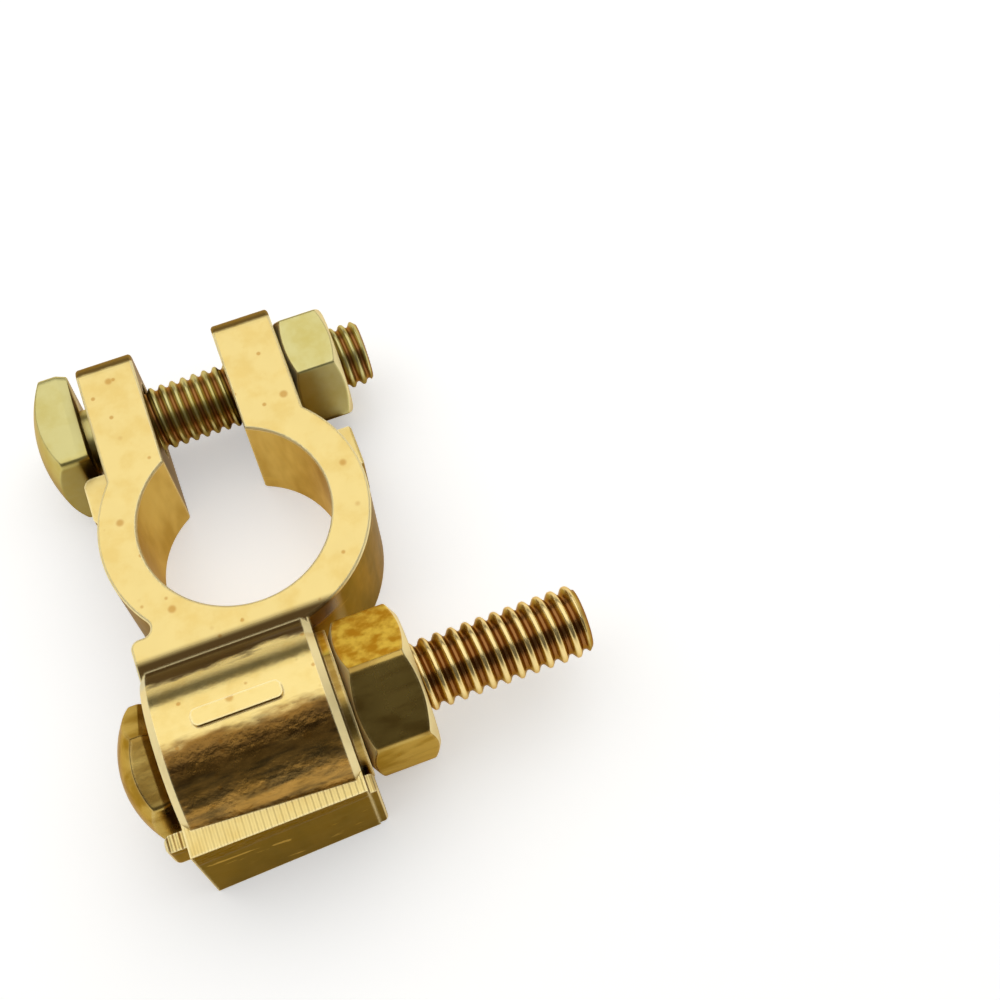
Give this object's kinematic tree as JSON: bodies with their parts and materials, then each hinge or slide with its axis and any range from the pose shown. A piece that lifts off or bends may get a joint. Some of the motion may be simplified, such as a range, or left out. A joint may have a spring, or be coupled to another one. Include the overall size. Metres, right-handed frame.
{
  "type": "battery terminal clamp",
  "caption": "Cast brass battery terminal clamp: a split ring with a pinch bolt, and a cable block with a long threaded bolt and nut for the cable.",
  "frame": {"origin": "on the post bore's axis, on the casting's underside", "axes": "+Z along the post bore, away from the battery; +X along both bolts, towards their nuts; +Y towards the pinch ears"},
  "size_m": [0.0393, 0.0468, 0.0157],
  "materials": {
    "cast_brass": "satin",
    "turned_brass": "satin",
    "plated_steel": "satin"
  },
  "bodies": {
    "casting": {"clamp_body": "cast_brass", "cable_bolt": "turned_brass"},
    "pinch_bolt": {"pinch_bolt": "plated_steel"},
    "pinch_nut": {"pinch_nut": "plated_steel"},
    "cable_washer": {"cable_washer": "turned_brass"},
    "cable_nut": {"cable_nut": "turned_brass"}
  },
  "joints": [
    {"name": "pinch_nut_turn", "type": "hinge", "parent": "casting", "child": "pinch_nut", "pos_m": [0.00845, 0.0145, 0.00565], "axis": [1, 0, 0], "range_deg": [-300, 900]},
    {"name": "pinch_bolt_slide", "type": "slide", "parent": "casting", "child": "pinch_bolt", "axis": [-1, 0, 0], "range_m": [-0.00083, 0.00249]},
    {"name": "cable_washer_slide", "type": "slide", "parent": "casting", "child": "cable_washer", "axis": [1, 0, 0], "range_m": [0, 0.01249]},
    {"name": "cable_nut_turn", "type": "hinge", "parent": "cable_washer", "child": "cable_nut", "pos_m": [0.0039, -0.0178, 0.0075], "axis": [1, 0, 0], "range_deg": [0, 3600]}
  ],
  "couplings": [
    {"joint": "pinch_nut_turn", "follows": "pinch_bolt_slide", "rad_per_m": 6283.2},
    {"joint": "cable_nut_turn", "follows": "cable_washer_slide", "rad_per_m": 5026.5}
  ]
}
